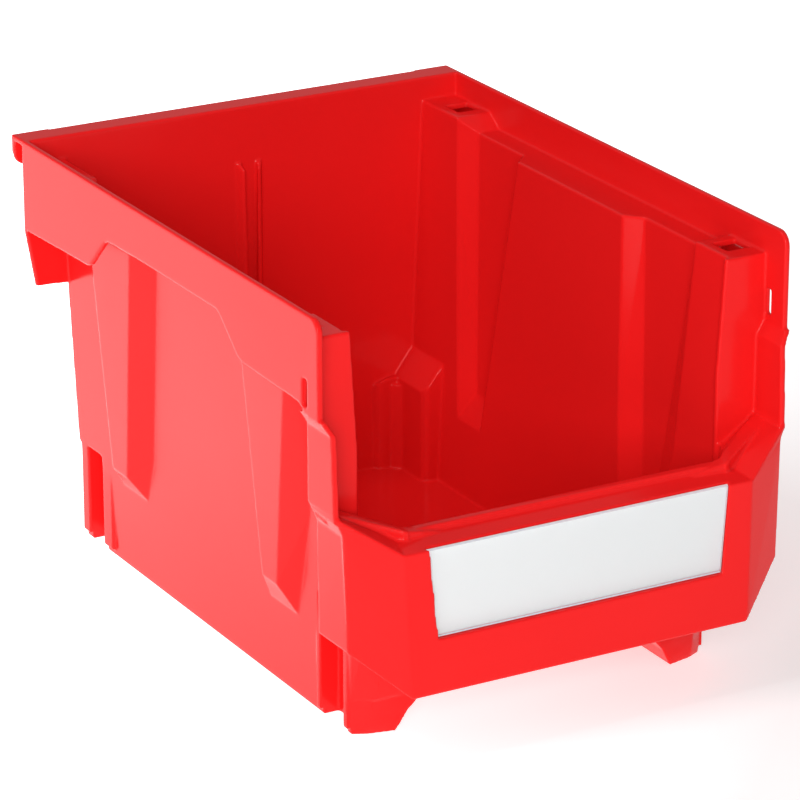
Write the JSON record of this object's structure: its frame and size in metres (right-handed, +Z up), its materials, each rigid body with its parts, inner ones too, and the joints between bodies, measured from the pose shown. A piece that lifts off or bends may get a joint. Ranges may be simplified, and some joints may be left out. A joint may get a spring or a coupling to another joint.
{
  "type": "stackable hopper-front storage bin",
  "caption": "Open stackable parts bin with a low hopper front, stacking ledges, ribbed side walls, a rear hanging lip and a label card behind a clear slide-in cover.",
  "frame": {"origin": "bottom centre of the bin: on the resting plane, halfway across its width and its length", "axes": "+X to the bin's right seen from its open front, +Y towards the hanging lip at the rear, +Z up"},
  "size_m": [0.21, 0.2882, 0.181],
  "materials": {
    "bin_plastic": "semi-gloss moulded polypropylene",
    "label_card": "matt white card",
    "label_window": "clear glossy sheet"
  },
  "bodies": {
    "bin": {"bin_shell": "bin_plastic"},
    "card": {"label_card": "label_card"},
    "window": {"label_window": "label_window"}
  },
  "joints": [
    {"name": "window_slide", "type": "slide", "parent": "bin", "child": "window", "axis": [0, 0, 1], "range_m": [0, 0.04]},
    {"name": "card_slide", "type": "slide", "parent": "bin", "child": "card", "axis": [0, 0, 1], "range_m": [0, 0.04]}
  ]
}
